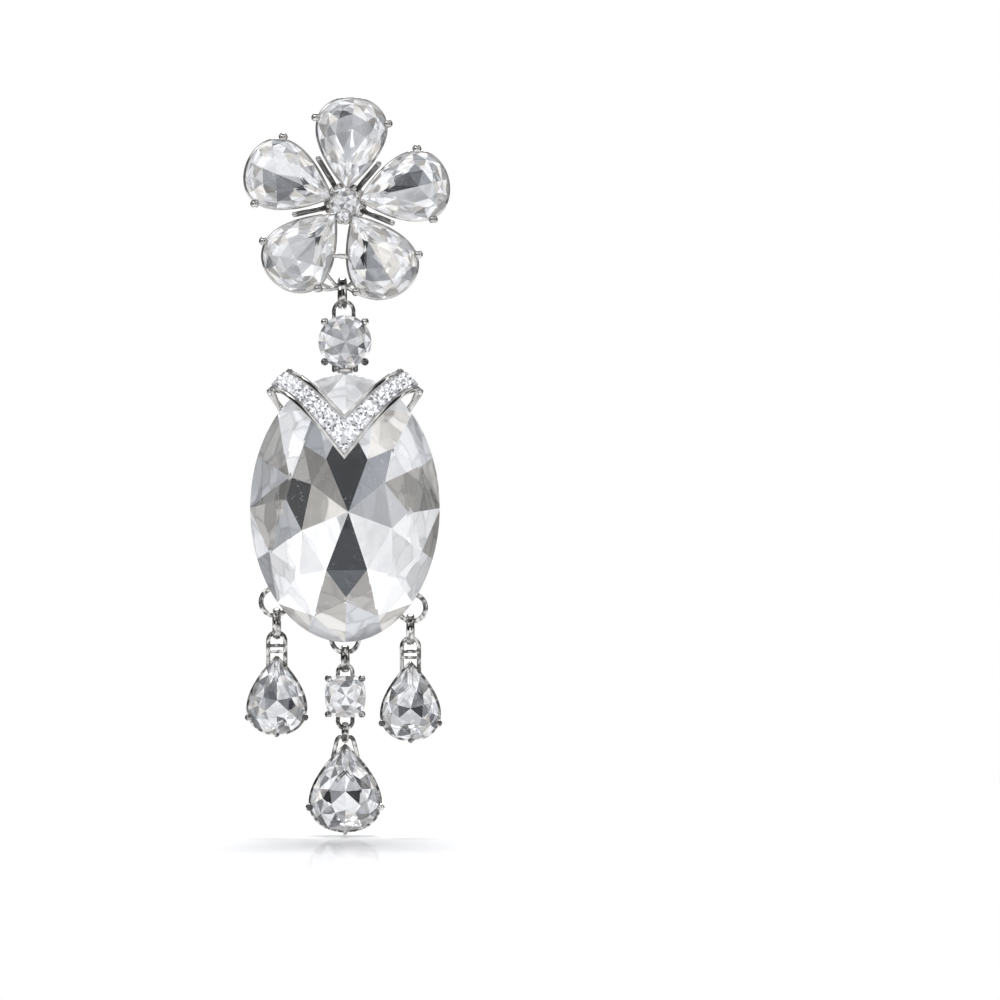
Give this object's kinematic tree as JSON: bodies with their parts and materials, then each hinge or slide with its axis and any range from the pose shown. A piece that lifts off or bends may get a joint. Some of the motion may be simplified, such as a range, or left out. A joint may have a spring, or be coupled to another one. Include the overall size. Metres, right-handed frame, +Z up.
{
  "type": "chandelier earring",
  "caption": "Post earring with a flower of pear cut clear stones, a round link, a large oval stone under a pave chevron and three hanging drops.",
  "frame": {"origin": "where the ear post leaves the back of the flower, in the flower's middle", "axes": "+Z up as it hangs, +X to the right seen from the front, the front faces -Y, the post points along +Y"},
  "size_m": [0.0192, 0.0164, 0.0689],
  "materials": {
    "polished_metal": "polished white metal plating",
    "clear_crystal": "polished cut facets",
    "pave_crystal": "small cut stones fused to their bed"
  },
  "bodies": {
    "flower": {"flower_frame": "polished_metal", "petal_stone_1": "clear_crystal", "petal_stone_2": "clear_crystal", "petal_stone_3": "clear_crystal", "petal_stone_4": "clear_crystal", "petal_stone_5": "clear_crystal", "centre_stone": "clear_crystal", "accent_stone": "clear_crystal"},
    "link": {"top_jump_ring": "polished_metal", "link_setting": "polished_metal", "link_stone": "clear_crystal"},
    "pendant": {"oval_frame": "polished_metal", "left_jump_ring": "polished_metal", "left_drop_setting": "polished_metal", "right_jump_ring": "polished_metal", "right_drop_setting": "polished_metal", "centre_jump_ring": "polished_metal", "small_setting": "polished_metal", "lower_jump_ring": "polished_metal", "centre_drop_setting": "polished_metal", "oval_stone": "clear_crystal", "left_drop_stone": "clear_crystal", "right_drop_stone": "clear_crystal", "small_stone": "clear_crystal", "centre_drop_stone": "clear_crystal", "pave_field": "pave_crystal"}
  },
  "joints": [
    {"name": "drop_swing", "type": "hinge", "parent": "flower", "child": "link", "pos_m": [0, -0.002, -0.00785], "axis": [1, 0, 0], "range_deg": [-30, 30]},
    {"name": "pendant_swing", "type": "hinge", "parent": "link", "child": "pendant", "pos_m": [0, -0.002, -0.0156], "axis": [1, 0, 0], "range_deg": [-25, 25]}
  ]
}
